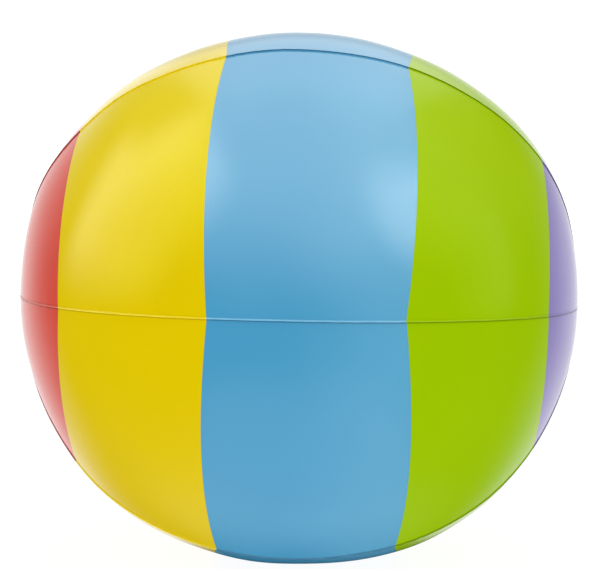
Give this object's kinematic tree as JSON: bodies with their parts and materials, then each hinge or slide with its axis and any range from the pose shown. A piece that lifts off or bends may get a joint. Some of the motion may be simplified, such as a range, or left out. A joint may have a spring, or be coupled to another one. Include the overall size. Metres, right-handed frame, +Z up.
{
  "type": "inflatable beach ball",
  "caption": "Large inflated ball welded from striped vinyl gores, with a disc over each pole and a push-in valve.",
  "frame": {"origin": "middle of the flat patch that the ball rests on, below its centre", "axes": "+X along the pole axis, out of the end that holds the valve; +Z up; the ball's front faces -Y, with a weld line level with its centre"},
  "size_m": [0.8778, 0.8644, 0.833],
  "materials": {
    "printed_vinyl": "glossy printed film, five straight stripes",
    "white_vinyl": "glossy white film",
    "clear_vinyl": "soft clear vinyl"
  },
  "bodies": {
    "ball": {"gore_top": "printed_vinyl", "gore_front_upper": "printed_vinyl", "gore_front_lower": "printed_vinyl", "gore_bottom": "printed_vinyl", "gore_back_lower": "printed_vinyl", "gore_back_upper": "printed_vinyl", "end_disc_plain": "white_vinyl", "end_disc_valve": "white_vinyl", "valve_flange": "clear_vinyl", "valve_skirt": "clear_vinyl"},
    "valve_stem": {"valve_stem": "clear_vinyl"},
    "stopper": {"stopper": "clear_vinyl", "stopper_strap": "clear_vinyl"},
    "check_flap": {"check_flap": "clear_vinyl"}
  },
  "joints": [
    {"name": "stem_slide", "type": "slide", "parent": "ball", "child": "valve_stem", "axis": [1, 0, 0], "range_m": [0, 0.016], "deforming": ["valve_skirt"]},
    {"name": "stopper_pull", "type": "slide", "parent": "valve_stem", "child": "stopper", "axis": [1, 0, 0], "range_m": [0, 0.009], "deforming": ["stopper_strap"]},
    {"name": "flap_hinge", "type": "hinge", "parent": "valve_stem", "child": "check_flap", "pos_m": [0.41987, 0, 0.4187], "axis": [0, 1, 0], "range_deg": [0, 55], "stiffness_Nm_per_rad": 0.0002}
  ]
}
